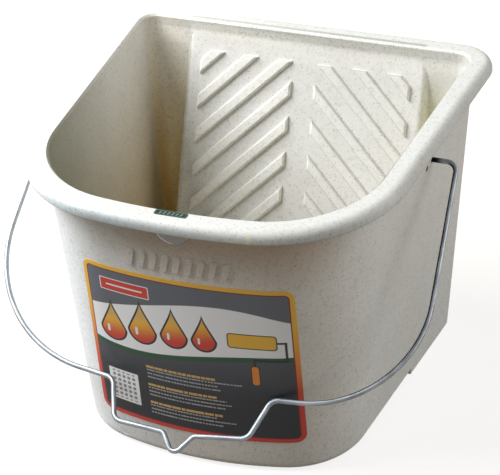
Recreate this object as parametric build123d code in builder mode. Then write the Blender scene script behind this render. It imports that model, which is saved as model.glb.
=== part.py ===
from build123d import *
import math
import os

# Paint bucket: one moulded tub with a ribbed roll-off ramp in it, carried by a bent wire bail.
# Sizes are in millimetres. X runs across, the front faces -Y and the bucket stands on Z = 0.

# Rim, seen from above, with a straight back and a bowed front
rim_back_width = 290.0
rim_front_width = 262.7
rim_depth = 278.5
rim_crown = 20.0
rim_back_corner = 28.0
rim_front_corner = 90.0
height = 209.0

# Rolled edge of the rim
rim_band = 16.5
rim_drop = 8.6
rim_top = 2.8
rim_lip = 2.6
rim_roll = 7.0
rim_edge = 1.6

# Base outline, drawn in from the rim by the taper of the walls
base_back_width = 234.7
base_front_width = 198.0
base_back_inset = 44.0
base_front_inset = 15.8
base_crown = 21.0
base_back_corner = 15.0
base_front_corner = 55.0
wall = 3.0
floor = 3.0
base_round = 6.5
floor_chamfer = 4.0
heel_y = 13.5
overlap = 1.0

# Roll-off ramp, a hollow block that leans forward as it goes down
ramp_top_inset = 11.0
ramp_angle = 23.9
ramp_width = 188.0
ramp_foot_round = 8.0
ramp_head_round = 60.0
ramp_head_sink = 0.15
ramp_side_round = 5.0
hollow_tip = 4.0

# Diagonal bars on the ramp, in two mirrored fields
bar_pitch = 26.4
bar_width = 8.0
bar_height = 2.4
bar_angle = 44.5
bar_draft = 12.0
bar_edge = 0.7
bar_count = 9
field_inner = 9.0
field_outer = 82.0
field_top = 24.7
field_bottom = 196.0
first_bar = -39.9

# Bail of round wire and its sockets in the side walls
wire = 3.6
socket_clearance = 0.08
socket_depth = 2.2
socket_end_gap = 0.2
hinge_y = 35.0
hinge_drop = 36.0
right_leg_x = 142.0
left_leg_x = 166.0
leg_bend = 8.0
right_elbow_x = 155.6
left_elbow_x = 170.7
elbow_r = 181.8
right_elbow_bend = 79.0
left_elbow_bend = 95.0
shoulder_x = 58.1
shoulder_r = 191.9
grip_x = 48.7
grip_r = 221.2
shoulder_bend = 8.0
notch_x = 11.0
notch_r = 224.9
notch_bend = 5.0
notch_tip = 240.7
grip_tilt = 2.6
seat_gap = 0.3
bore_reach = 20.0

# Round dimple beside each socket
dimple = 3.6
dimple_depth = 1.2
dimple_ahead = 9.6
dimple_below = 2.0

# Half-round magnet seat under the front rim
seat_radius = 14.5
seat_drop = 10.7
seat_proud = 1.8
cover_margin = 1.4
cover_thick = 1.2
cover_clearance = 0.1
magnet_diameter = 15.0
magnet_thick = 2.5
magnet_clearance = 0.1

# Raised row of slanted bars on the front wall
row_drop = 41.6
row_height = 12.6
row_bar = 4.4
row_pitch = 8.5
row_count = 9
row_slant = 14.0
row_round = 1.4
row_proud = 1.2

# Front label and the small sticker on the rim
label_width = 152.5
label_side = 1.2
label_drop = 54.4
label_bottom = 25.8
label_corner = 7.0
label_film = 0.3
label_glue = 0.1
sticker_width = 23.0
sticker_depth = 5.6
sticker_corner = 1.5
sticker_side = 0.7
sticker_film = 0.25

# Sizes that follow from those above
rim_back_y = rim_depth / 2
rim_front_y = -rim_depth / 2
rim_under = height - rim_drop
base_back_y = rim_back_y - base_back_inset
base_front_y = rim_front_y + base_front_inset
wall_inset = rim_band - wall
ramp_top_y = rim_back_y - ramp_top_inset
lean_ratio = math.tan(math.radians(ramp_angle))
ramp_foot_y = ramp_top_y - lean_ratio * (height - floor)
wire_r = wire / 2
hinge_z = height - hinge_drop
seat_z = height - seat_drop
row_z = height - row_drop
label_top = height - label_drop


# Outline with straight back and sides and a bowed front
def outline(back_width, front_width, back_y, front_y, crown, back_corner, front_corner):
    with BuildSketch() as plan:
        with BuildLine():
            Line((back_width / 2, back_y), (-back_width / 2, back_y))
            Line((-back_width / 2, back_y), (-front_width / 2, front_y + crown))
            ThreePointArc(
                (-front_width / 2, front_y + crown),
                (0, front_y),
                (front_width / 2, front_y + crown),
            )
            Line((front_width / 2, front_y + crown), (back_width / 2, back_y))
        make_face()
        fillet(plan.vertices().group_by(Axis.Y)[0], front_corner)
        fillet(plan.vertices().group_by(Axis.Y)[-1], back_corner)
    return plan.sketch


def grown(plan, amount):
    with BuildSketch() as result:
        offset(plan, amount=amount)
    return result.sketch


rim_plan = outline(
    rim_back_width, rim_front_width, rim_back_y, rim_front_y,
    rim_crown, rim_back_corner, rim_front_corner,
)
wall_plan = grown(rim_plan, -wall_inset)
base_plan = outline(
    base_back_width, base_front_width, base_back_y, base_front_y,
    base_crown, base_back_corner, base_front_corner,
)


# Tapered block between the base and the underside of the rim, grown or shrunk all round
def tapered(amount):
    with BuildPart() as block:
        with BuildSketch(Plane.XY):
            if amount:
                add(grown(base_plan, amount))
            else:
                add(base_plan)
        with BuildSketch(Plane.XY.offset(rim_under)):
            if amount:
                add(grown(wall_plan, amount))
            else:
                add(wall_plan)
        loft(ruled=True)
    return block.part


outer = tapered(0)
inner = tapered(-wall)


# Half width of the outer wall at a depth and a height
def side_x(y, z):
    slope_top = (rim_back_width - rim_front_width) / 2 / (rim_depth - rim_crown)
    half_top = rim_back_width / 2 - wall_inset - slope_top * (rim_back_y - y)
    base_run = base_back_y - base_front_y - base_crown
    slope_base = (base_back_width - base_front_width) / 2 / base_run
    half_base = base_back_width / 2 - slope_base * (base_back_y - y)
    return half_base + (half_top - half_base) * z / rim_under


# Depth of the outer front wall on the middle line
def front_y(z):
    top_y = rim_front_y + wall_inset
    return base_front_y + (top_y - base_front_y) * z / rim_under


# Ramp face as a plane, its local Y up the slope
ramp = Plane(
    origin=(0, ramp_top_y, height),
    x_dir=(1, 0, 0),
    z_dir=(0, -math.cos(math.radians(ramp_angle)), math.sin(math.radians(ramp_angle))),
)

# Where the ramp leaves the back wall, a little behind the wall's inner face
back_lean = (wall_inset - base_back_inset) / rim_under
head_line_y = base_back_y - wall + ramp_head_sink
ramp_head_z = (head_line_y - ramp_top_y + lean_ratio * height) / (lean_ratio + back_lean)

# Solid side view of the ramp, rounded where it leaves the wall and at its foot
with BuildPart() as ramp_block:
    with BuildSketch(Plane.YZ) as ramp_side:
        with BuildLine():
            Polyline(
                (head_line_y - back_lean * height, height),
                (head_line_y - back_lean * ramp_head_z, ramp_head_z),
                (ramp_foot_y, floor),
                (ramp_foot_y - 3 * ramp_foot_round, floor),
                (ramp_foot_y - 3 * ramp_foot_round, -floor),
                (rim_back_y, -floor),
                (rim_back_y, height),
                close=True,
            )
        make_face()
        foot = ramp_side.vertices().sort_by_distance((ramp_foot_y, floor, 0))[0]
        fillet(foot, ramp_foot_round)
        head_at = (head_line_y - back_lean * ramp_head_z, ramp_head_z, 0)
        fillet(ramp_side.vertices().sort_by_distance(head_at)[0], ramp_head_round)
    extrude(amount=ramp_width / 2, both=True)
    slope_at = (0, (ramp_top_y + ramp_foot_y) / 2, (height + floor) / 2)
    slope = ramp_block.faces().sort_by_distance(slope_at)[0]
    fillet(slope.edges().filter_by(lambda edge: abs(edge.center().X) > ramp_width / 4), ramp_side_round)

# All the space that holds paint, from the floor up through the rim
with BuildPart() as space:
    add(inner)
    split(bisect_by=Plane.XY.offset(floor), keep=Keep.TOP)
    chamfer(space.faces().sort_by(Axis.Z)[0].edges(), floor_chamfer)
    with BuildSketch(Plane.XY.offset(rim_under)):
        add(grown(rim_plan, -rim_band))
    extrude(amount=rim_drop + overlap)
    add(ramp_block.part, mode=Mode.SUBTRACT)

# Hollow behind the ramp, open underneath
hollow_width = ramp_width - 2 * wall
hollow_face = Plane(
    origin=(0, ramp_top_y + wall / math.cos(math.radians(ramp_angle)), height),
    x_dir=(1, 0, 0),
    z_dir=ramp.z_dir,
)
hollow_foot_y = hollow_face.origin.Y - lean_ratio * height
hollow_depth = base_back_y - wall - hollow_foot_y
hollow_top = (hollow_depth - hollow_tip) / (lean_ratio + back_lean)
with BuildPart() as hollow:
    add(inner)
    split(bisect_by=hollow_face, keep=Keep.BOTTOM)
    split(bisect_by=Plane.YZ.offset(hollow_width / 2), keep=Keep.BOTTOM)
    split(bisect_by=Plane.YZ.offset(-hollow_width / 2), keep=Keep.TOP)
    split(bisect_by=Plane.XY.offset(hollow_top), keep=Keep.BOTTOM)

# Rolled rim with its open groove underneath
with BuildPart() as rim:
    with BuildSketch(Plane.XY.offset(rim_under)):
        add(rim_plan)
    extrude(amount=rim_drop)
    fillet(rim.faces().sort_by(Axis.Z)[-1].edges(), rim_roll)
    with BuildSketch(Plane.XY.offset(rim_under)):
        add(grown(rim_plan, -rim_lip))
        add(wall_plan, mode=Mode.SUBTRACT)
    extrude(amount=rim_drop - rim_top, mode=Mode.SUBTRACT)
    groove_top = rim.faces().filter_by(Plane.XY).group_by(Axis.Z)[1]
    chamfer(groove_top[0].outer_wire().edges(), rim_roll - rim_lip)

# Rounded bottom edge at the front, square heel at the back
with BuildPart() as front_shell:
    add(outer)
    fillet(front_shell.faces().sort_by(Axis.Z)[0].edges(), base_round)

with BuildPart() as heel:
    add(outer)
    split(bisect_by=Plane.XZ.offset(-heel_y), keep=Keep.BOTTOM)
    split(bisect_by=Plane.XY.offset(2 * base_round), keep=Keep.BOTTOM)

# One field of diagonal bars, standing on the ramp to the right of its middle
field_width = field_outer - field_inner
field_height = field_bottom - field_top
bar_rise = math.tan(math.radians(bar_angle))
bar_drop = bar_width / math.cos(math.radians(bar_angle))
bar_spread = 2 * overlap * math.tan(math.radians(bar_draft))
middle_x = (field_inner + field_outer) / 2
with BuildPart() as bars:
    with BuildSketch(ramp.offset(-overlap)):
        for index in range(bar_count):
            row = first_bar + index * bar_pitch + bar_drop / 2
            with Locations((middle_x, -(row + bar_rise * field_width / 2))):
                Rectangle(2 * field_width, bar_width + bar_spread, rotation=-bar_angle)
        with Locations((middle_x, -(field_top + field_bottom) / 2)):
            Rectangle(field_width + bar_spread, field_height + bar_spread, mode=Mode.INTERSECT)
    extrude(amount=bar_height + overlap, taper=bar_draft)
    bar_tops = bars.faces().group_by(Axis(ramp.origin, ramp.z_dir))[-1]
    chamfer(bar_tops.edges(), bar_edge)

# Half-round seat for the magnet, on the front wall under the rim
seat_face_y = front_y(seat_z) - seat_proud
seat_plane = Plane.XZ.offset(-seat_face_y)
seat_height = height - rim_top - seat_z


def half_round(radius):
    with BuildSketch(seat_plane) as tab:
        with Locations((0, seat_z)):
            Circle(radius)
            Rectangle(2 * radius, seat_height, align=(Align.CENTER, Align.MIN))
        with Locations((0, seat_z + seat_height)):
            Rectangle(4 * radius, 4 * radius, align=(Align.CENTER, Align.MAX), mode=Mode.INTERSECT)
    return tab.sketch


cover_radius = seat_radius - cover_margin
magnet_plane = seat_plane.offset(-cover_thick)

# Slanted bars of the raised row, as seen from the front
with BuildPart() as row:
    add(tapered(row_proud))
    with BuildSketch(Plane.XZ) as row_shape:
        with Locations((0, row_z)):
            with GridLocations(row_pitch, 0, row_count, 1):
                Rectangle(row_bar, 2 * row_height, rotation=-row_slant)
            Rectangle(2 * row_count * row_pitch, row_height, mode=Mode.INTERSECT)
        fillet(row_shape.vertices(), row_round)
    extrude(amount=rim_depth, mode=Mode.INTERSECT)

# Moulded tub, one piece with its rim, ramp, bars and sockets
socket_x = side_x(hinge_y, hinge_z) - socket_depth
dimple_x = side_x(hinge_y - dimple_ahead, hinge_z - dimple_below) - dimple_depth
with BuildPart() as bucket:
    add(front_shell.part)
    add(heel.part)
    add(rim.part)
    add(row.part)
    with BuildSketch(seat_plane):
        add(half_round(seat_radius))
    extrude(until=Until.NEXT, dir=(0, 1, 0))
    add(space.part, mode=Mode.SUBTRACT)
    add(hollow.part, mode=Mode.SUBTRACT)
    chamfer(bucket.faces().sort_by(Axis.Z)[-1].inner_wires()[0].edges(), rim_edge)
    add(bars.part)
    add(bars.part.mirror(Plane.YZ))
    with BuildSketch(seat_plane):
        add(half_round(cover_radius + cover_clearance))
    extrude(amount=-cover_thick, mode=Mode.SUBTRACT)
    with BuildSketch(magnet_plane):
        with Locations((0, seat_z)):
            Circle(magnet_diameter / 2 + magnet_clearance)
    extrude(amount=-magnet_thick, mode=Mode.SUBTRACT)
    for side in (1, -1):
        with Locations(Location((side * socket_x, hinge_y, hinge_z), (0, side * 90, 0))):
            Cylinder(
                wire_r + socket_clearance, bore_reach,
                align=(Align.CENTER, Align.CENTER, Align.MIN), mode=Mode.SUBTRACT,
            )
        dimple_at = (side * dimple_x, hinge_y - dimple_ahead, hinge_z - dimple_below)
        with Locations(Location(dimple_at, (0, side * 90, 0))):
            Cylinder(
                dimple / 2, bore_reach,
                align=(Align.CENTER, Align.CENTER, Align.MIN), mode=Mode.SUBTRACT,
            )

bucket.part.label = "bucket"

# Magnet in its pocket, and the half-round cover over it
with BuildPart() as magnet:
    with BuildSketch(magnet_plane):
        with Locations((0, seat_z)):
            Circle(magnet_diameter / 2)
    extrude(amount=-magnet_thick)
magnet.part.label = "magnet"

with BuildPart() as magnet_cover:
    with BuildSketch(seat_plane):
        add(half_round(cover_radius))
    extrude(amount=-cover_thick)
magnet_cover.part.label = "magnet_cover"

# Bail, drawn in a plane through the hinge line: across, and down from the hinge
# The springy wire has its left leg bowed out further than its right one
leg_end = socket_x + socket_end_gap
tilt = math.tan(math.radians(grip_tilt))


def bail_side(side, leg_x, elbow_x):
    corners = [(leg_end, 0), (leg_x, 0), (elbow_x, elbow_r)]
    for x, r in ((shoulder_x, shoulder_r), (grip_x, grip_r), (notch_x, notch_r)):
        corners.append((x, r - side * tilt * x))
    return [(side * x, r) for x, r in corners]


right_side = bail_side(1, right_leg_x, right_elbow_x)
left_side = bail_side(-1, left_leg_x, left_elbow_x)
bail_points = right_side + [(0, notch_tip)] + left_side[::-1]
shoulder_bends = [shoulder_bend, shoulder_bend]
grip_bends = shoulder_bends + [notch_bend, notch_bend, notch_bend] + shoulder_bends
bail_bends = [leg_bend, right_elbow_bend] + grip_bends + [left_elbow_bend, leg_bend]


# Plane of the bail when it leans forward by an angle from straight down
def bail_plane(lean):
    turn = math.radians(lean)
    return Plane(
        origin=(0, hinge_y, hinge_z),
        x_dir=(1, 0, 0),
        z_dir=(0, math.cos(turn), -math.sin(turn)),
    )


# Gap between the hanging part of the wire and the front wall
def wire_gap(lean):
    with BuildLine(bail_plane(lean)) as hanging:
        Polyline(*bail_points[2:-2])
    return hanging.line.distance_to(outer) - wire_r - label_glue - label_film


# The bail hangs down in front until its shoulders rest on the wall
low, high = 20.0, 88.0
for step in range(18):
    rest_lean = (low + high) / 2
    if wire_gap(rest_lean) < seat_gap:
        low = rest_lean
    else:
        high = rest_lean

with BuildPart() as bail:
    with BuildLine(bail_plane(rest_lean)) as bail_path:
        FilletPolyline(*bail_points, radius=bail_bends)
    with BuildSketch(Plane(origin=bail_path.line @ 0, z_dir=bail_path.line % 0)):
        Circle(wire_r)
    sweep(path=bail_path.line)
bail.part.label = "bail"

# Printed label, wrapped on the front wall over its thin layer of glue
with BuildPart() as label:
    add(tapered(label_glue + label_film))
    add(tapered(label_glue), mode=Mode.SUBTRACT)
    with BuildSketch(Plane.XZ):
        with Locations((label_side, (label_top + label_bottom) / 2)):
            RectangleRounded(label_width, label_top - label_bottom, label_corner)
    extrude(amount=rim_depth, mode=Mode.INTERSECT)
label.part.label = "front_label"

# Small sticker on the flat of the rim, in the middle of the front
flat_inner = rim_front_y + rim_band - rim_edge
with BuildPart() as sticker:
    with BuildSketch(Plane.XY.offset(height)):
        with Locations((sticker_side, flat_inner - sticker_depth / 2)):
            RectangleRounded(sticker_width, sticker_depth, sticker_corner)
    extrude(amount=sticker_film)
sticker.part.label = "rim_sticker"

# Files, one for each piece
os.makedirs("parts", exist_ok=True)
export_step(bucket.part, "parts/bucket.step")
export_step(magnet.part, "parts/magnet.step")
export_step(magnet_cover.part, "parts/magnet_cover.step")
export_step(bail.part, "parts/bail.step")
export_step(label.part, "parts/front_label.step")
export_step(sticker.part, "parts/rim_sticker.step")

wire_area = math.pi * wire_r**2
print("rest lean of the bail", round(rest_lean, 3))
print("bail volume against length", round(bail.part.volume, 1), round(wire_area * bail_path.wires()[0].length, 1))
print("socket depth plane", round(socket_x, 3), "hollow top", round(hollow_top, 2))
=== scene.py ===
import math
import bpy
import numpy as np
from mathutils import Matrix, Vector


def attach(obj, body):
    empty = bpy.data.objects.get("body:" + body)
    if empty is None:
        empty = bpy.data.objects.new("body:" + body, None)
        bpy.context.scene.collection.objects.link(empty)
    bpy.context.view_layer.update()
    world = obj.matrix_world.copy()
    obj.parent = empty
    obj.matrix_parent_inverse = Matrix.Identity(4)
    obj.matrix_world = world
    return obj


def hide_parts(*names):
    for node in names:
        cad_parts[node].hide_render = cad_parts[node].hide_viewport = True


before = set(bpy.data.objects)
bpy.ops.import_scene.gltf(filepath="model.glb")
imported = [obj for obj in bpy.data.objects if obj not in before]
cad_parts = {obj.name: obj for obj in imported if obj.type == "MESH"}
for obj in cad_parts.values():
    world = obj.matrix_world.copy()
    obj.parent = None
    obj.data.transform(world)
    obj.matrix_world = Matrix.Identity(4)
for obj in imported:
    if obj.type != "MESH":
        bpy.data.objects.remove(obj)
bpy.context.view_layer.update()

scene = bpy.context.scene
scene.view_settings.view_transform = "Standard"

# The viewpoint: a long lens in front of the bucket and to its right, looking down into it,
# with the picture turned slightly clockwise.
view_azimuth = math.radians(24.37)
view_elevation = math.radians(33.56)
view_roll = math.radians(-4.85)
view_distance = 1.58468
view_target = Vector((-0.00213, -0.00101, 0.1087))
focal_pixels = 2224.8
picture_width = 500

away = Vector((
    math.sin(view_azimuth) * math.cos(view_elevation),
    -math.cos(view_azimuth) * math.cos(view_elevation),
    math.sin(view_elevation),
))
level = Vector((0, 0, 1)).cross(away).normalized()
upright = away.cross(level)
across = math.cos(view_roll) * level + math.sin(view_roll) * upright
upward = -math.sin(view_roll) * level + math.cos(view_roll) * upright
lens = bpy.data.cameras.new("studio_camera")
lens.sensor_width = 36.0
lens.lens = focal_pixels / picture_width * lens.sensor_width
lens.clip_end = 50.0
camera = bpy.data.objects.new("studio_camera", lens)
turned = Matrix((across, upward, away)).transposed().to_4x4()
camera.matrix_world = Matrix.Translation(view_target + away * view_distance) @ turned
scene.collection.objects.link(camera)
scene.camera = camera


# The studio: a sheet of white paper under the bucket that keeps a faint shadow, white walls all
# round, one large soft lamp high on the left and a weaker one on the right.
def place(tree, kind, inputs=None, **settings):
    """A new shader node; each input is a plain value or a socket to link from."""
    item = tree.nodes.new(kind)
    for name, value in settings.items():
        setattr(item, name, value)
    for key, value in (inputs or {}).items():
        if isinstance(value, bpy.types.NodeSocket):
            tree.links.new(value, item.inputs[key])
        else:
            item.inputs[key].default_value = value
    return item


def calc(tree, operation, first, second=0.0, third=0.0):
    """The result of one Math node."""
    item = place(tree, "ShaderNodeMath", {0: first, 1: second, 2: third}, operation=operation)
    return item.outputs[0]


def empty_material(name):
    """A new material without nodes, and its node tree."""
    material = bpy.data.materials.new(name)
    material.use_nodes = True
    material.node_tree.nodes.clear()
    return material, material.node_tree


def finish_material(tree, shader):
    """Joins a shader to the output of its material."""
    place(tree, "ShaderNodeOutputMaterial", {"Surface": shader.outputs[0]})


def blend_color(tree, amount, first, second, kind="MIX"):
    """One colour laid over another by an amount from 0 to 1. A Mix node keeps its amount in
    input 0, its two colours in inputs 6 and 7 and the blended colour in output 2."""
    item = place(
        tree, "ShaderNodeMix", {0: amount, 6: first, 7: second},
        data_type="RGBA", blend_type=kind,
    )
    return item.outputs[2]


paper_half = 4.0
paper_level = -0.0004
paper_tone = (0.26, 0.235, 0.205, 1)
paper_glow = 0.82
paper_mirrored = 0.2
paper_corners = np.array([(-1, -1, 0), (1, -1, 0), (1, 1, 0), (-1, 1, 0)]) * paper_half
paper_corners[:, 2] = paper_level
paper_mesh = bpy.data.meshes.new("studio_paper")
paper_mesh.from_pydata(paper_corners.tolist(), [], [(0, 1, 2, 3)])
studio_paper = bpy.data.objects.new("studio_paper", paper_mesh)
scene.collection.objects.link(studio_paper)

paper, tree = empty_material("white_paper")
rays = place(tree, "ShaderNodeLightPath").outputs
seen = calc(tree, "MULTIPLY_ADD", rays["Is Glossy Ray"], paper_mirrored, rays["Is Camera Ray"])
matt = place(tree, "ShaderNodeBsdfDiffuse", {"Color": paper_tone})
glow = place(tree, "ShaderNodeEmission", {"Strength": calc(tree, "MULTIPLY", seen, paper_glow)})
both = place(tree, "ShaderNodeAddShader", {0: matt.outputs[0], 1: glow.outputs[0]})
finish_material(tree, both)
paper_mesh.materials.append(paper)

room_fill = 0.19
room_mirrored = 0.30
room_tone = (1.0, 0.955, 0.89, 1)
room_white = (1, 1, 1, 1)
room = bpy.data.worlds.new("studio_room")
room.use_nodes = True
scene.world = room
tree = room.node_tree
tree.nodes.clear()
rays = place(tree, "ShaderNodeLightPath").outputs
direct = calc(tree, "MAXIMUM", rays["Is Camera Ray"], rays["Is Transmission Ray"])
strength = calc(tree, "MULTIPLY_ADD", rays["Is Glossy Ray"], room_mirrored, room_fill)
strength = calc(tree, "MAXIMUM", direct, strength)
tone = blend_color(tree, direct, room_tone, room_white)
air = place(tree, "ShaderNodeBackground", {"Color": tone, "Strength": strength})
place(tree, "ShaderNodeOutputWorld", {"Surface": air.outputs[0]})


def soft_lamp(name, position, width, height, watts, tint, aim=(0, 0, 0.1)):
    """A rectangular lamp at a place, facing the middle of the bucket."""
    lamp = bpy.data.lights.new(name, "AREA")
    lamp.shape = "RECTANGLE"
    lamp.size = width
    lamp.size_y = height
    lamp.energy = watts
    lamp.color = tint
    holder = bpy.data.objects.new(name, lamp)
    facing = (Vector(aim) - Vector(position)).to_track_quat("-Z", "Y")
    holder.matrix_world = Matrix.Translation(position) @ facing.to_matrix().to_4x4()
    scene.collection.objects.link(holder)


soft_lamp(
    "lamp_high_left", position=(-1.33, -0.26, 1.60), width=1.3, height=1.3,
    watts=72.0, tint=(1.0, 1.0, 1.0),
)
soft_lamp(
    "lamp_right", position=(2.0, 0.50, 0.80), width=2.2, height=2.0,
    watts=23.0, tint=(1.0, 0.99, 0.97),
)


# The tub is one injection moulding in recycled off-white resin, satin from the mould. Ground
# specks of darker resin lie all through it; painted light and shade are laid over its colour.
tub_tone = (0.790, 0.795, 0.775, 1)
tub_warm = (0.760, 0.760, 0.730, 1)
tub_mottle = (0.50, 0.52, 0.51, 1)
tub_mottle_strength = 0.30
# scale to a metre and detail of each noise
cloud_noise = (38.0, 5.0)
mottle_noise = (330.0, 1.0)
grain_noise = (700.0, 2.0)
cloud_range = (0.35, 0.65)
mottle_range = (0.50, 0.72)
grain_height = 0.0002
grain_strength = 0.10
edge_radius = 0.0009
# range of the clouds' noise, and of the roughness that goes with it
tub_roughness = (0.3, 0.7, 0.38, 0.50)

# cells per metre, share of cells that hold a speck, its radius as a part of a cell, two tones,
# strength: from a fine pepper to a few dark brown grains
speck_sizes = (
    (950.0, 0.90, 0.42, (0.34, 0.36, 0.36, 1), (0.52, 0.48, 0.40, 1), 0.50),
    (520.0, 0.85, 0.36, (0.17, 0.19, 0.20, 1), (0.42, 0.38, 0.31, 1), 0.58),
    (300.0, 0.75, 0.20, (0.08, 0.09, 0.10, 1), (0.26, 0.21, 0.15, 1), 0.74),
    (150.0, 0.50, 0.08, (0.14, 0.08, 0.04, 1), (0.05, 0.05, 0.06, 1), 0.95),
)
speck_growth = 0.6
speck_core = 0.30

ramp_half = 0.094
ramp_top_y = 0.12825
ramp_top_z = 0.209
ramp_lean = math.radians(23.9)
dimple_at = (0.0, 0.0254, 0.1710)
rim_smear = (0.80, 0.70, 0.46, 1)
rim_smear_strength = 0.45
rim_smear_at = (0.0568, -0.1352, 0.2045)
rim_smear_spread = (420.0, 110.0, 130.0)
rim_smear_range = (1.0, 0.2)
left_range = (-0.100, -0.112)
front_range = (-0.005, -0.025)

# Painted light and shade, in the order in which they are laid on the resin. Each holds a tone
# that multiplies the resin's, how strongly it does so, and the masks that bound it together. A
# mask names a signal and the range of it over which the mask goes from 0 to 1, or, where two
# more values follow, from the first of them to the second. A mask without a range is the signal
# itself. Places are in metres.
side_wall = ("turn_x", -0.01, -0.09)
depth = ("z", 0.205, 0.05, 0.1, 1.0)
on_bars = (
    ("proud", 0.0003, 0.0012),
    ("proud", 0.0040, 0.0030),
    ("off_middle", ramp_half - 0.001, ramp_half - 0.004),
)
# tone of the painted light on the lit left wall and on the inner top edges
painted_light_tone = (1.22, 1.21, 1.21, 1)
painted_light_and_shade = (
    # painted shade on the side walls of the well, darker towards the front
    ((0.32, 0.32, 0.25, 1), 1.0, side_wall, ("y", 0.09, -0.08, 0.12, 1.0)),
    # warm painted shade on the side walls, stronger the deeper they lie
    ((0.88, 0.66, 0.34, 1), 0.76, side_wall, depth),
    # warm painted shade in the gutters beside the ramp, most of it in the left one
    ((1.23, 0.95, 0.42, 1), 0.95,
     ("off_middle", ramp_half - 0.001, ramp_half + 0.004), ("turn_y", -0.02, -0.06),
     depth, ("x", 0.03, -0.03, 0.12, 1.0)),
    # painted shadow of the rim on the front below it
    ((0.58, 0.43, 0.30, 1), 0.85,
     ("z", 0.145, 0.197, 0.22, 1.0), ("turn_y", 0.02, 0.11), ("y", 0.0, -0.08),
     ("x", -0.105, -0.010), ("z", 0.202, 0.199)),
    # painted cool shade on the left part of the front
    ((0.93, 0.985, 1.05, 1), 1.0,
     ("x", 0.02, -0.06), ("turn_y", 0.02, 0.08), ("y", 0.0, -0.05)),
    # painted shade on the rim, greyer towards the right
    ((0.86, 0.875, 0.87, 1), 0.9, ("z", 0.195, 0.201), ("x", -0.09, -0.02)),
    # painted shade on the front face of the rim, greyer still
    ((0.68, 0.72, 0.735, 1), 1.0,
     ("facing_z", 0.80, 0.30), ("z", 0.190, 0.196), ("turn_y", 0.02, 0.07),
     ("x", 0.06, 0.0, 0.4, 0.9), ("x", -0.120, -0.070)),
    # painted light on the outside of the left wall and of its front corner
    (painted_light_tone, 0.85,
     ("facing_x", -0.05, -0.75), ("x", -0.02, -0.06), ("left_or_front",)),
    # painted light on the top edges of the back and front walls inside, where the rim's shade
    # falls
    (painted_light_tone, 0.85, ("turn_y", -0.06, -0.10), ("z", 0.183, 0.196)),
    # painted shade over the highlight on the left edge of the ramp
    ((0.66, 0.65, 0.60, 1), 1.0,
     ("facing_x", -0.15, -0.55), ("x", 0.007 - ramp_half, 0.004 - ramp_half),
     ("x", -0.004 - ramp_half, -0.0015 - ramp_half), ("z", 0.11, 0.16), ("y", 0.04, 0.06)),
    # olive painted shade down the right edge of the ramp
    ((0.84, 0.84, 0.70, 1), 1.0,
     ("x", ramp_half - 0.007, ramp_half - 0.001), ("x", ramp_half + 0.016, ramp_half + 0.004),
     ("z", 0.198, 0.160), ("y", 0.02, 0.05), ("turn_y", 0.03, 0.01)),
    # painted shade in the round dimples beside the bail's holes
    ((0.50, 0.42, 0.40, 1), 1.0, ("from_dimple", 0.0030, 0.0017), ("off_middle", 0.1215, 0.1219)),
    # painted light on the ramp's bars, most of all in the left field
    ((1.23, 1.23, 1.21, 1), 0.8, *on_bars, ("x", 0.04, -0.02, 0.22, 1.0)),
    # painted shade over the lit upper ends of the bars
    ((0.62, 0.62, 0.60, 1), 1.0, *on_bars, ("facing_z", 0.60, 0.85)),
)


def product(tree, *values):
    """Values multiplied together, from the first to the last."""
    result = values[0]
    for value in values[1:]:
        result = calc(tree, "MULTIPLY", result, value)
    return result


def ramped(tree, value, low, high, first=0.0, last=1.0):
    """A value carried smoothly from one range to another, and held beyond its ends."""
    item = place(
        tree, "ShaderNodeMapRange",
        {"Value": value, "From Min": low, "From Max": high, "To Min": first, "To Max": last},
        interpolation_type="SMOOTHSTEP",
    )
    return item.outputs["Result"]


def reach_from(tree, where, point, weights):
    """The distance from a point, with each direction counted by its own weight."""
    gap = place(tree, "ShaderNodeVectorMath", {0: where, 1: point}, operation="SUBTRACT")
    scaled = place(
        tree, "ShaderNodeVectorMath", {0: gap.outputs[0], 1: weights}, operation="MULTIPLY",
    )
    length = place(tree, "ShaderNodeVectorMath", {0: scaled.outputs[0]}, operation="LENGTH")
    return length.outputs["Value"]


def noise(tree, where, scale, detail):
    """A cloudy value from 0 to 1."""
    item = place(tree, "ShaderNodeTexNoise", {"Vector": where, "Scale": scale, "Detail": detail})
    return item.outputs["Fac"]


def parts_of(tree, vector):
    """The X, Y and Z of a vector."""
    return place(tree, "ShaderNodeSeparateXYZ", {"Vector": vector}).outputs


def empty_group(name, inputs, outputs):
    """A new node group with named sockets of the given kinds, and the values that reach it."""
    group = bpy.data.node_groups.new(name, "ShaderNodeTree")
    for side, sockets in (("INPUT", inputs), ("OUTPUT", outputs)):
        for socket, kind in sockets.items():
            group.interface.new_socket(socket, in_out=side, socket_type="NodeSocket" + kind)
    return group, place(group, "NodeGroupInput").outputs


def dress(name, material):
    """Gives one of the part's own solids its material."""
    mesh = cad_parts[name].data
    mesh.materials.clear()
    mesh.materials.append(material)


# specks of one size, each in a cell of its own, round and soft at the edge
resin_specks, given = empty_group(
    "resin_specks",
    {"Vector": "Vector", "Scale": "Float", "Share": "Float", "Radius": "Float"},
    {"Mask": "Float", "Chance": "Float"},
)
cells = place(
    resin_specks, "ShaderNodeTexVoronoi",
    {"Vector": given["Vector"], "Scale": given["Scale"], "Randomness": 1.0},
).outputs
luck = place(resin_specks, "ShaderNodeSeparateColor", {"Color": cells["Color"]}).outputs
present = calc(resin_specks, "LESS_THAN", luck["Red"], given["Share"])
growth = calc(resin_specks, "MULTIPLY_ADD", luck["Green"], speck_growth, 1 - speck_growth)
reach = product(resin_specks, given["Radius"], growth)
fade = place(
    resin_specks, "ShaderNodeMapRange",
    {"Value": cells["Distance"], "From Min": product(resin_specks, reach, speck_core),
     "From Max": reach, "To Min": 1.0, "To Max": 0.0},
    interpolation_type="SMOOTHSTEP",
)
speck = product(resin_specks, present, fade.outputs["Result"])
place(resin_specks, "NodeGroupOutput", {"Mask": speck, "Chance": luck["Blue"]})

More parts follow.
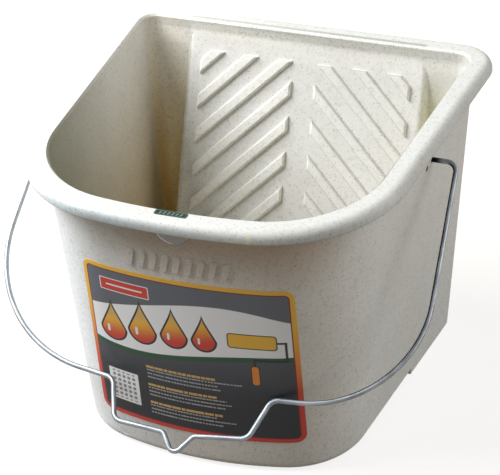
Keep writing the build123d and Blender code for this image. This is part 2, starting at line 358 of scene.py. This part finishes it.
# all sizes of specks laid over a colour
speckled_resin, given = empty_group(
    "speckled_resin", {"Vector": "Vector", "Color": "Color"}, {"Color": "Color"},
)
color = given["Color"]
for scale, share, radius, dark, light, strength in speck_sizes:
    specks = place(
        speckled_resin, "ShaderNodeGroup",
        {"Vector": given["Vector"], "Scale": scale, "Share": share, "Radius": radius},
        node_tree=resin_specks,
    ).outputs
    tint = blend_color(speckled_resin, specks["Chance"], dark, light)
    amount = product(speckled_resin, specks["Mask"], strength)
    color = blend_color(speckled_resin, amount, color, tint)
place(speckled_resin, "NodeGroupOutput", {"Color": color})

tub_resin, tree = empty_material("tub_resin")
object_place = place(tree, "ShaderNodeTexCoord").outputs
where = object_place["Object"]
cloud = noise(tree, where, *cloud_noise)
color = blend_color(tree, ramped(tree, cloud, *cloud_range), tub_tone, tub_warm)
mottled = ramped(tree, noise(tree, where, *mottle_noise), *mottle_range)
color = blend_color(tree, product(tree, mottled, tub_mottle_strength), color, tub_mottle)
speckled = place(
    tree, "ShaderNodeGroup", {"Vector": where, "Color": color}, node_tree=speckled_resin,
)
color = speckled.outputs["Color"]

x, y, z = parts_of(tree, where)
facing = parts_of(tree, object_place["Normal"])
# height above the sloping face of the ramp
face_at_zero = math.cos(ramp_lean) * ramp_top_y - math.sin(ramp_lean) * ramp_top_z
proud = calc(tree, "MULTIPLY_ADD", y, -math.cos(ramp_lean), face_at_zero)
proud = calc(tree, "MULTIPLY_ADD", z, math.sin(ramp_lean), proud)
signals = {
    "x": x,
    "y": y,
    "z": z,
    "off_middle": calc(tree, "ABSOLUTE", x),
    "facing_x": facing["X"],
    "facing_z": facing["Z"],
    # below 0 on walls that face the middle, above 0 on walls that face away from it
    "turn_x": product(tree, x, facing["X"]),
    "turn_y": product(tree, y, facing["Y"]),
    "left_or_front": calc(
        tree, "MAXIMUM", ramped(tree, x, *left_range), ramped(tree, y, *front_range),
    ),
    "from_dimple": reach_from(tree, where, dimple_at, (0.0, 1.0, 1.0)),
    "proud": proud,
}
# each painted light or shade multiplies the colour by its tone where its masks meet
for tone, strength, *masks in painted_light_and_shade:
    shares = [
        ramped(tree, signals[name], *span) if span else signals[name] for name, *span in masks
    ]
    amount = product(tree, *shares, strength)
    color = blend_color(tree, amount, color, tone, "MULTIPLY")

# a small yellowish smear over the front of the rim
smear = reach_from(tree, where, rim_smear_at, rim_smear_spread)
smear = product(tree, ramped(tree, smear, *rim_smear_range), rim_smear_strength)
color = blend_color(tree, smear, color, rim_smear)

softened = place(tree, "ShaderNodeBevel", {"Radius": edge_radius}, samples=4)
relief = place(
    tree, "ShaderNodeBump",
    {"Height": noise(tree, where, *grain_noise), "Strength": grain_strength,
     "Distance": grain_height, "Normal": softened.outputs["Normal"]},
)
skin = place(
    tree, "ShaderNodeBsdfPrincipled",
    {"Base Color": color, "Roughness": ramped(tree, cloud, *tub_roughness),
     "Normal": relief.outputs["Normal"]},
)
finish_material(tree, skin)
dress("bucket", tub_resin)


# The cover is a thin half-round disc of smoky resin, moulded apart and pressed into the seat
# under the front rim, over the magnet. Its left edge carries a painted highlight.
cover_tone = (0.44, 0.45, 0.44, 1)
cover_cloud = (0.50, 0.51, 0.49, 1)
cover_noise = (160.0, 3.0)
cover_roughness = (0.3, 0.7, 0.26, 0.38)
# painted highlight on the cover's left edge: its tone, and where it fades across the cover
cover_edge_highlight = (0.95, 0.95, 0.93, 1)
cover_highlight_across = (0.002, -0.004)
cover_centre = (0.0, 0.0, 0.1983)
cover_edge = 0.0121
cover_edge_width = 0.0003

cover_resin, tree = empty_material("cover_resin")
where = place(tree, "ShaderNodeTexCoord").outputs["Object"]
cloud = noise(tree, where, *cover_noise)
color = blend_color(tree, cloud, cover_tone, cover_cloud)
x = parts_of(tree, where)["X"]
reach = reach_from(tree, where, cover_centre, (1.0, 0.0, 1.0))
# painted highlight along the left edge of the cover
lit_edge = product(
    tree,
    ramped(tree, reach, cover_edge - cover_edge_width, cover_edge),
    ramped(tree, x, *cover_highlight_across),
)
color = blend_color(tree, lit_edge, color, cover_edge_highlight)
speckled = place(
    tree, "ShaderNodeGroup", {"Vector": where, "Color": color}, node_tree=speckled_resin,
)
skin = place(
    tree, "ShaderNodeBsdfPrincipled",
    {"Base Color": speckled.outputs["Color"], "Roughness": ramped(tree, cloud, *cover_roughness)},
)
finish_material(tree, skin)
dress("magnet_cover", cover_resin)


# The magnet is a plain disc of dark pressed ceramic, dropped into its pocket in the seat and
# held there by the cover.
ceramic_dark = (0.03, 0.03, 0.03, 1)
ceramic_light = (0.08, 0.08, 0.08, 1)
ceramic_roughness = 0.7
grit_noise = (1500.0, 3.0)

ceramic, tree = empty_material("magnet_ceramic")
where = place(tree, "ShaderNodeTexCoord").outputs["Object"]
shade = blend_color(tree, noise(tree, where, *grit_noise), ceramic_dark, ceramic_light)
skin = place(
    tree, "ShaderNodeBsdfPrincipled", {"Base Color": shade, "Roughness": ceramic_roughness},
)
finish_material(tree, skin)
dress("magnet", ceramic)


# The bail is one length of round steel wire, cold drawn and bright zinc plated, bent by hand to
# hook into the side walls. It is swept here through the same bends as the solid one, a hair
# thinner so that it stays within it.
wire_radius = 0.00179
hinge_y = 0.035
hinge_z = 0.173
bail_lean = math.radians(55.281)
# corners of the wire in the bail's own plane, across from its middle and down from the hinge;
# a leg has one at the hinge and one at its elbow
wire_end = 0.122048
right_leg = (0.142, 0.1556)
left_leg = (0.166, 0.1707)
elbow_down = 0.1818
grip_corners = ((0.0581, 0.1919), (0.0487, 0.2212), (0.011, 0.2249))
grip_point = 0.2407
grip_tilt = math.tan(math.radians(2.6))
# radius of each bend of the grip, and of the whole wire from its right socket to its left one
grip_bends = (0.008, 0.008, 0.005, 0.005, 0.005, 0.008, 0.008)
wire_bends = (0.008, 0.079) + grip_bends + (0.095, 0.008)
arc_step = math.radians(3.0)
wire_sides = 28

zinc_dull = (0.27, 0.30, 0.34, 1)
zinc_bright = (0.44, 0.49, 0.54, 1)
zinc_bloom = (0.58, 0.61, 0.64, 1)
zinc_bloom_strength = 0.4
# tone of the painted shade down the wall side of the right leg
zinc_painted_shade = (0.015, 0.015, 0.018, 1)
# range of the patches' noise, and of the roughness that goes with it
zinc_roughness = (0.3, 0.7, 0.46, 0.58)
# drawing marks to a metre of wire and to a turn round it
drawn_marks = (60.0, 9.0, 1.0)
drawn_noise = (1.0, 4.0)
drawn_range = (0.38, 0.62)
drawn_height = 0.0001
drawn_strength = 0.08
patch_noise = (90.0, 5.0)
bloom_range = (0.45, 0.70)
# where the painted shade lies: on faces turned left, on the right leg
shaded_facing_x = (-0.05, -0.45)
shaded_across = (0.06, 0.10)


def bail_half(side, legs):
    """The corners of one half of the bail in its own plane, from the socket to the notch."""
    corners = [(wire_end, 0.0), (legs[0], 0.0), (legs[1], elbow_down)]
    corners += [(x, down - side * grip_tilt * x) for x, down in grip_corners]
    return [(side * x, down) for x, down in corners]


def bent_path(corners, bends):
    """Straight runs between corners, each corner replaced by an arc that touches both runs:
    its centre lies on the corner's bisector at bend / sin(half the angle between the runs)."""
    corners = np.array(corners)
    runs = [corners[:1]]
    for before, corner, after, bend in zip(corners, corners[1:], corners[2:], bends):
        back = (before - corner) / np.linalg.norm(before - corner)
        ahead = (after - corner) / np.linalg.norm(after - corner)
        half = math.acos(float(back @ ahead)) / 2
        middle = (back + ahead) / np.linalg.norm(back + ahead)
        centre = corner + middle * bend / math.sin(half)
        start = corner + back * bend / math.tan(half) - centre
        end = corner + ahead * bend / math.tan(half) - centre
        turn = math.atan2(start[0] * end[1] - start[1] * end[0], float(start @ end))
        angle = np.linspace(0.0, turn, max(4, int(abs(turn) / arc_step)))
        cosine, sine = np.cos(angle)[:, None], np.sin(angle)[:, None]
        square = np.array((-start[1], start[0]))
        runs.append(centre + cosine * start + sine * square)
    runs.append(corners[-1:])
    return np.concatenate(runs)


def swept_wire(path, sides, radius):
    """A round wire along a flat path: point + radius * (cos v * across the path in its plane
    + sin v * the plane's normal), with v once round the wire. Gives its points, its faces
    without the ends, and the length of wire up to each ring of points."""
    plane_down = np.array((0.0, -math.sin(bail_lean), -math.cos(bail_lean)))
    plane_across = np.array((1.0, 0.0, 0.0))
    plane_normal = np.cross(plane_across, plane_down)
    steps = np.diff(path, axis=0)
    step_lengths = np.linalg.norm(steps, axis=1)
    steps /= step_lengths[:, None]
    along = np.vstack((steps[:1], steps[:-1] + steps[1:], steps[-1:]))
    along /= np.linalg.norm(along, axis=1)[:, None]
    middle = path[:, :1] * plane_across + path[:, 1:] * plane_down + (0.0, hinge_y, hinge_z)
    outwards = -along[:, 1:] * plane_across + along[:, :1] * plane_down
    angle = np.arange(sides) * 2 * math.pi / sides
    ring = (
        np.cos(angle)[None, :, None] * outwards[:, None, :]
        + np.sin(angle)[None, :, None] * plane_normal
    )
    points = (middle[:, None, :] + radius * ring).reshape(-1, 3)
    row, column = np.meshgrid(np.arange(len(path) - 1), np.arange(sides), indexing="ij")
    after = (column + 1) % sides
    quads = np.stack(
        (row * sides + column, row * sides + after,
         (row + 1) * sides + after, (row + 1) * sides + column), axis=-1,
    ).reshape(-1, 4)
    length = np.concatenate(((0.0,), np.cumsum(step_lengths)))
    return points, quads, length


bail_corners = (
    bail_half(1, right_leg) + [(0.0, grip_point)] + bail_half(-1, left_leg)[::-1]
)
bail_path = bent_path(bail_corners, wire_bends)
wire_points, wire_quads, wire_length = swept_wire(bail_path, wire_sides, wire_radius)
last_ring = (len(bail_path) - 1) * wire_sides
wire_caps = [
    list(range(wire_sides))[::-1],
    list(range(last_ring, last_ring + wire_sides)),
]
wire_mesh = bpy.data.meshes.new("bail_wire")
wire_mesh.from_pydata(wire_points.tolist(), [], wire_quads.tolist() + wire_caps)
smooth = np.ones(len(wire_mesh.polygons), dtype=bool)
smooth[-2:] = False
wire_mesh.polygons.foreach_set("use_smooth", smooth)
corner_points = np.empty(len(wire_mesh.loops), dtype=np.int32)
wire_mesh.loops.foreach_get("vertex_index", corner_points)
run_map = np.stack((
    wire_length[corner_points // wire_sides],
    (corner_points % wire_sides) / wire_sides,
), axis=1)
wire_mesh.uv_layers.new(name="wire_run").data.foreach_set("uv", run_map.ravel())
bail_wire = bpy.data.objects.new("bail_wire", wire_mesh)
scene.collection.objects.link(bail_wire)
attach(bail_wire, "bail")
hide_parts("bail")

# drawing marks along the wire, cloudy zinc over them, and painted shade down the wall side of the
# right leg
zinc, tree = empty_material("zinc_wire")
object_place = place(tree, "ShaderNodeTexCoord").outputs
where = object_place["Object"]
run = place(tree, "ShaderNodeUVMap", uv_map="wire_run")
stretched = place(
    tree, "ShaderNodeVectorMath", {0: run.outputs["UV"], 1: drawn_marks}, operation="MULTIPLY",
)
drawn = noise(tree, stretched.outputs[0], *drawn_noise)
patches = noise(tree, where, *patch_noise)
metal = blend_color(tree, ramped(tree, drawn, *drawn_range), zinc_dull, zinc_bright)
bloom = product(tree, ramped(tree, patches, *bloom_range), zinc_bloom_strength)
metal = blend_color(tree, bloom, metal, zinc_bloom)
facing_x = parts_of(tree, object_place["Normal"])["X"]
x = parts_of(tree, where)["X"]
# painted shade down the left side of the right leg, which faces the wall
painted_shade = product(
    tree, ramped(tree, facing_x, *shaded_facing_x), ramped(tree, x, *shaded_across),
)
metal = blend_color(tree, painted_shade, metal, zinc_painted_shade)
relief = place(
    tree, "ShaderNodeBump",
    {"Height": drawn, "Strength": drawn_strength, "Distance": drawn_height},
)
skin = place(
    tree, "ShaderNodeBsdfPrincipled",
    {"Base Color": metal, "Metallic": 1.0, "Normal": relief.outputs["Normal"],
     "Roughness": ramped(tree, patches, *zinc_roughness)},
)
finish_material(tree, skin)
wire_mesh.materials.append(zinc)


# The front label is a die-cut vinyl film, printed and pressed on over the curved front wall. A
# band that runs from yellow to red frames a slate field with a white sweep, four paint drops, a
# roller, a small white panel and lines of dashes. Its measures are in mm from its middle.
label_middle = (0.0012, 0.0902)
label_half = (76.25, 64.4)
label_corner = 7.0
band_width = 3.1
band_line = 0.8
print_edge = 0.22
mm_in_a_metre = 1000.0

ink_slate = (0.122, 0.138, 0.172, 1)
ink_slate_light = (0.185, 0.205, 0.245, 1)
ink_black = (0.020, 0.023, 0.031, 1)
ink_white = (0.86, 0.89, 0.93, 1)
ink_green = (0.020, 0.085, 0.045, 1)
ink_yellow = (0.84, 0.50, 0.06, 1)
ink_orange = (0.80, 0.27, 0.04, 1)
ink_red = (0.62, 0.055, 0.040, 1)
ink_maroon = (0.22, 0.020, 0.022, 1)
ink_gold = (0.66, 0.42, 0.14, 1)
ink_grey = (0.42, 0.43, 0.45, 1)
ink_dark_grey = (0.16, 0.17, 0.18, 1)

label_roughness = (0.3, 0.7, 0.30, 0.42)
scuff_noise = (60.0, 4.0)

# heights between which the field goes from black to slate
field_rise = (-45.0, 55.0)
# radians of the dots' wave to a mm
dot_wave = 3.6
dot_range = (0.1, 0.7)
dot_strength = 0.55
sweep_middle = 21.0
sweep_half = 22.5
sweep_taper = 0.0013
# radians of the sweep's wave to a mm, where it starts, and its height
sweep_wave = (0.030, 0.5, 6.0)
green_edge = 1.4
# middle and size of each drop
drops = (((-56.5, 12.0), 9.2), ((-33.5, 16.0), 9.8), ((-9.5, 17.5), 9.0), ((12.5, 18.0), 8.0))
drop_outline = 1.5
drop_tip = 2.3
drop_end_slope = 20.0
# heights over the sweep's middle between which a drop goes from yellow to red, and from gold
# to these
drop_red = (8.0, -11.0)
drop_gold = (12.0, 2.0)
# place, half size and corner of the shine, in sizes of its drop
shine_at = (-0.45, -0.1)
shine_half = (0.10, 0.32)
shine_corner = 0.09
# middle, half size, corner and ink of each part of the roller, from its sleeve to its handle
roller_parts = (
    ((46.0, 21.5), (17.0, 6.2), 2.6, ink_black),
    ((46.0, 21.5), (16.2, 5.4), 2.0, ink_yellow),
    ((66.0, 21.5), (3.2, 0.8), 0.5, ink_black),
    ((68.4, 14.0), (0.8, 8.3), 0.5, ink_black),
    ((57.5, 6.4), (11.7, 0.8), 0.5, ink_black),
    ((46.6, 0.0), (0.8, 7.0), 0.5, ink_black),
    ((46.6, -7.0), (3.0, 8.4), 2.4, ink_black),
    ((46.6, -7.0), (2.4, 7.8), 1.9, ink_orange),
)
plate_middle = (-44.0, 49.0)
plate_half = (19.0, 5.2)
plate_corner = 1.0
plate_rim = 0.7
plate_bar_half = (14.0, 0.6)
plate_bar_corner = 0.3
dashes_top = -13.0
dashes_left = -34.0
dashes_deep = 46.0
group_pitch = 15.5
row_pitch = 3.1
rows_in_group = 4
fine_length = 2.3
fine_thickness = 1.1
golden_length = 3.5
golden_thickness = 2.0
longest_gap = 0.9
# the furthest right that a row ends, how much sooner one may, and how much sooner a golden one
row_end_right = 40.0
row_end_spread = 24.0
golden_end_sooner = 8.0
dash_strength = 0.9
dash_seed = 3.0
rows_to_a_group_key = 7.0
panel_middle = (-54.0, -38.0)
panel_half = (12.0, 13.5)
panel_corner = 0.8
panel_margin = 1.6
square_pitch = 4.0
square_half = 0.3
square_strength = 0.85
# heights between which the band goes from yellow to orange, and from these to red
band_orange = (40.0, -5.0)
band_red = (12.0, -35.0)


def inside(tree, distance):
    """A mask that is 1 where a distance is below 0, with a soft edge."""
    return ramped(tree, distance, print_edge, -print_edge)


def printed(tree, ink, distance, tint):
    """An ink laid where a distance is below 0, over the inks under it."""
    return blend_color(tree, inside(tree, distance), ink, tint)


def from_middle(tree, value, middle):
    """A place along one axis in mm from the middle of a print."""
    return product(tree, calc(tree, "SUBTRACT", value, middle), mm_in_a_metre)


# how far a place lies outside a box with round corners: the length of what reaches past the
# straight part of its sides, less the corner's radius
box_values = ("X", "Z", "Middle X", "Middle Z", "Half X", "Half Z", "Corner")
box, given = empty_group(
    "printed_box", dict.fromkeys(box_values, "Float"), {"Distance": "Float"},
)
over = []
for axis in ("X", "Z"):
    offset = calc(box, "SUBTRACT", given[axis], given["Middle " + axis])
    straight = calc(box, "SUBTRACT", given["Half " + axis], given["Corner"])
    over.append(calc(box, "SUBTRACT", calc(box, "ABSOLUTE", offset), straight))
out_x = calc(box, "MAXIMUM", over[0], 0.0)
out_z = calc(box, "MAXIMUM", over[1], 0.0)
square = calc(box, "MULTIPLY_ADD", out_x, out_x, product(box, out_z, out_z))
inner = calc(box, "MINIMUM", calc(box, "MAXIMUM", over[0], over[1]), 0.0)
whole = calc(box, "ADD", calc(box, "SQRT", square), inner)
place(box, "NodeGroupOutput", {"Distance": calc(box, "SUBTRACT", whole, given["Corner"])})


def box_distance(tree, x, z, middle, half, corner):
    """How far a place lies outside a box with round corners; below 0 inside it."""
    item = place(
        tree, "ShaderNodeGroup",
        {"X": x, "Z": z, "Middle X": middle[0], "Middle Z": middle[1],
         "Half X": half[0], "Half Z": half[1], "Corner": corner},
        node_tree=box,
    )
    return item.outputs["Distance"]


def drop_distance(tree, x, z, middle, size, grown):
    """How far a place lies outside a paint drop: half a circle below its middle, and above it a
    half width of size * (1 - t) * sqrt(1 - t * t), with t from 0 at its middle to 1 at its tip.
    Past its two ends the distance grows steeply."""
    rise = calc(tree, "DIVIDE", calc(tree, "SUBTRACT", z, middle[1]), size + grown)
    low = calc(tree, "MAXIMUM", calc(tree, "MINIMUM", rise, 0.0), -1.0)
    high = calc(tree, "MAXIMUM", calc(tree, "DIVIDE", rise, drop_tip), 0.0)
    high = calc(tree, "MINIMUM", high, 1.0)
    round_below = calc(tree, "SUBTRACT", 1.0, product(tree, low, low))
    round_above = calc(tree, "SUBTRACT", 1.0, product(tree, high, high))
    width = calc(tree, "SQRT", product(tree, round_below, round_above))
    width = product(tree, width, calc(tree, "SUBTRACT", 1.0, high))
    side = calc(tree, "ABSOLUTE", calc(tree, "SUBTRACT", x, middle[0]))
    gap = calc(tree, "MULTIPLY_ADD", width, -(size + grown), side)
    per_half = 2 / (1 + drop_tip)
    beyond = calc(tree, "ABSOLUTE", calc(tree, "MULTIPLY_ADD", rise, per_half, per_half - 1))
    beyond = calc(tree, "MAXIMUM", calc(tree, "SUBTRACT", beyond, 1.0), 0.0)
    return calc(tree, "MULTIPLY_ADD", beyond, drop_end_slope * size, gap)


label_print, tree = empty_material("label_print")
where = place(tree, "ShaderNodeTexCoord").outputs["Object"]
spot = parts_of(tree, where)
x = from_middle(tree, spot["X"], label_middle[0])
z = from_middle(tree, spot["Z"], label_middle[1])

# slate field with a fine screen of lighter dots
dots = product(
    tree,
    calc(tree, "SINE", product(tree, x, dot_wave)),
    calc(tree, "SINE", product(tree, z, dot_wave)),
)
screen = product(tree, ramped(tree, dots, *dot_range), dot_strength)
lighter = ramped(tree, z, *field_rise)
ink = blend_color(tree, lighter, ink_black, ink_slate)
ink = blend_color(tree, product(tree, screen, lighter), ink, ink_slate_light)

# white sweep with a dark green edge below it
wave_turn, wave_start, wave_height = sweep_wave
wave = calc(tree, "SINE", calc(tree, "MULTIPLY_ADD", x, wave_turn, wave_start))
centre = calc(tree, "ADD", product(tree, wave, wave_height), sweep_middle)
off_sweep = calc(tree, "SUBTRACT", z, centre)
spread = calc(tree, "MULTIPLY_ADD", product(tree, x, x), -sweep_taper, sweep_half)
beside_green = calc(tree, "ABSOLUTE", calc(tree, "ADD", off_sweep, 2 * green_edge))
ink = printed(tree, ink, calc(tree, "SUBTRACT", beside_green, spread), ink_green)
beside_white = calc(tree, "ABSOLUTE", off_sweep)
narrower = calc(tree, "SUBTRACT", spread, green_edge)
ink = printed(tree, ink, calc(tree, "SUBTRACT", beside_white, narrower), ink_white)

# four paint drops, golden at the tip and red at the foot, with dark outlines and a shine
drop_shade = blend_color(tree, ramped(tree, off_sweep, *drop_red), ink_yellow, ink_red)
drop_shade = blend_color(tree, ramped(tree, off_sweep, *drop_gold), ink_gold, drop_shade)
for middle, size in drops:
    ink = printed(tree, ink, drop_distance(tree, x, z, middle, size, drop_outline), ink_black)
    ink = printed(tree, ink, drop_distance(tree, x, z, middle, size, 0.0), drop_shade)
    shine_middle = [at + size * part for at, part in zip(middle, shine_at)]
    shine_size = [size * part for part in shine_half]
    shine = box_distance(tree, x, z, shine_middle, shine_size, size * shine_corner)
    ink = printed(tree, ink, shine, ink_white)

# a roller with its wire frame and handle
for middle, half, corner, tint in roller_parts:
    ink = printed(tree, ink, box_distance(tree, x, z, middle, half, corner), tint)

# red plate at the top left, with a pale rim and a pale bar in it
plate = box_distance(tree, x, z, plate_middle, plate_half, plate_corner)
plate_bar = box_distance(tree, x, z, plate_middle, plate_bar_half, plate_bar_corner)
ink = printed(tree, ink, plate, ink_white)
ink = printed(tree, ink, calc(tree, "ADD", plate, plate_rim), ink_red)
ink = printed(tree, ink, plate_bar, ink_white)

# groups of dashes: one golden row over three fine grey ones, each row cut off at random
down = calc(tree, "SUBTRACT", dashes_top, z)
group = calc(tree, "FLOOR", calc(tree, "DIVIDE", down, group_pitch))
in_group = calc(tree, "SUBTRACT", down, product(tree, group, group_pitch))
row = calc(tree, "FLOOR", calc(tree, "DIVIDE", in_group, row_pitch))
down_row = calc(tree, "SUBTRACT", in_group, product(tree, row, row_pitch))
golden = calc(tree, "LESS_THAN", row, 0.5)
dash_length = calc(tree, "MULTIPLY_ADD", golden, golden_length - fine_length, fine_length)
thickness = calc(
    tree, "MULTIPLY_ADD", golden, golden_thickness - fine_thickness, fine_thickness,
)
dash = calc(tree, "FLOOR", calc(tree, "DIVIDE", x, dash_length))
row_key = calc(tree, "MULTIPLY_ADD", group, rows_to_a_group_key, row)
key = place(tree, "ShaderNodeCombineXYZ", {"X": dash, "Y": row_key, "Z": dash_seed}).outputs[0]
chance = place(tree, "ShaderNodeTexWhiteNoise", {"Vector": key}, noise_dimensions="3D")
row_chance = place(tree, "ShaderNodeTexWhiteNoise", {"W": row_key}, noise_dimensions="1D")
along_dash = calc(tree, "SUBTRACT", x, product(tree, dash, dash_length))
gap_before = product(tree, chance.outputs["Value"], longest_gap)
row_end = calc(tree, "MULTIPLY_ADD", row_chance.outputs["Value"], -row_end_spread, row_end_right)
row_end = calc(tree, "MULTIPLY_ADD", golden, -golden_end_sooner, row_end)
dashes = product(
    tree,
    calc(tree, "LESS_THAN", down_row, thickness),
    calc(tree, "LESS_THAN", row, rows_in_group - 0.5),
    calc(tree, "GREATER_THAN", x, dashes_left),
    calc(tree, "LESS_THAN", x, row_end),
    calc(tree, "GREATER_THAN", down, 0.0),
    calc(tree, "LESS_THAN", down, dashes_deep),
    calc(tree, "GREATER_THAN", along_dash, gap_before),
    dash_strength,
)
ink = blend_color(tree, dashes, ink, blend_color(tree, golden, ink_grey, ink_gold))

# white panel at the lower left with a grid of small grey squares
panel = box_distance(tree, x, z, panel_middle, panel_half, panel_corner)
off_square = []
for value in (x, z):
    step = calc(tree, "FRACT", product(tree, value, 1 / square_pitch))
    off_square.append(calc(tree, "ABSOLUTE", calc(tree, "SUBTRACT", step, 0.5)))
squares = product(
    tree,
    calc(tree, "LESS_THAN", calc(tree, "MAXIMUM", *off_square), square_half),
    inside(tree, calc(tree, "ADD", panel, panel_margin)),
    square_strength,
)
ink = printed(tree, ink, panel, ink_white)
ink = blend_color(tree, squares, ink, ink_dark_grey)

# framing band from yellow at the top to red at the foot, with a maroon line inside it
outline = box_distance(tree, x, z, (0.0, 0.0), label_half, label_corner)
band_ink = blend_color(tree, ramped(tree, z, *band_orange), ink_yellow, ink_orange)
band_ink = blend_color(tree, ramped(tree, z, *band_red), band_ink, ink_red)
ink = printed(tree, ink, calc(tree, "SUBTRACT", -band_width - band_line, outline), ink_maroon)
ink = printed(tree, ink, calc(tree, "SUBTRACT", -band_width, outline), band_ink)

scuff = noise(tree, where, *scuff_noise)
skin = place(
    tree, "ShaderNodeBsdfPrincipled",
    {"Base Color": ink, "Roughness": ramped(tree, scuff, *label_roughness)},
)
finish_material(tree, skin)
dress("front_label", label_print)


# The rim sticker is a small die-cut vinyl film, pressed on the flat of the rim over the magnet,
# dark green with a pale line round it and a row of pale slanted ticks. It too is drawn in mm.
sticker_middle = (0.0007, -0.12715)
sticker_half = (11.5, 2.8)
sticker_corner = 1.5
sticker_green = (0.005, 0.026, 0.019, 1)
sticker_pale = (0.22, 0.32, 0.27, 1)
sticker_pale_strength = 0.8
sticker_roughness = 0.35
tick_slant = -0.35
ticks_per_mm = 0.34
tick_half = 0.18
ticks_half = (8.8, 1.3)
line_inset = 0.55
line_half = 0.16

sticker_print, tree = empty_material("sticker_print")
where = place(tree, "ShaderNodeTexCoord").outputs["Object"]
spot = parts_of(tree, where)
x = from_middle(tree, spot["X"], sticker_middle[0])
y = from_middle(tree, spot["Y"], sticker_middle[1])
leaning = calc(tree, "MULTIPLY_ADD", y, tick_slant, x)
step = calc(tree, "FRACT", product(tree, leaning, ticks_per_mm))
ticks = product(
    tree,
    calc(tree, "LESS_THAN", calc(tree, "ABSOLUTE", calc(tree, "SUBTRACT", step, 0.5)), tick_half),
    calc(tree, "LESS_THAN", calc(tree, "ABSOLUTE", y), ticks_half[1]),
    calc(tree, "LESS_THAN", calc(tree, "ABSOLUTE", x), ticks_half[0]),
)
edge = box_distance(tree, x, y, (0.0, 0.0), sticker_half, sticker_corner)
off_line = calc(tree, "ABSOLUTE", calc(tree, "ADD", edge, line_inset))
edge_line = calc(tree, "LESS_THAN", off_line, line_half)
marks = product(tree, calc(tree, "MAXIMUM", ticks, edge_line), sticker_pale_strength)
skin = place(
    tree, "ShaderNodeBsdfPrincipled",
    {"Base Color": blend_color(tree, marks, sticker_green, sticker_pale),
     "Roughness": sticker_roughness},
)
finish_material(tree, skin)
dress("rim_sticker", sticker_print)
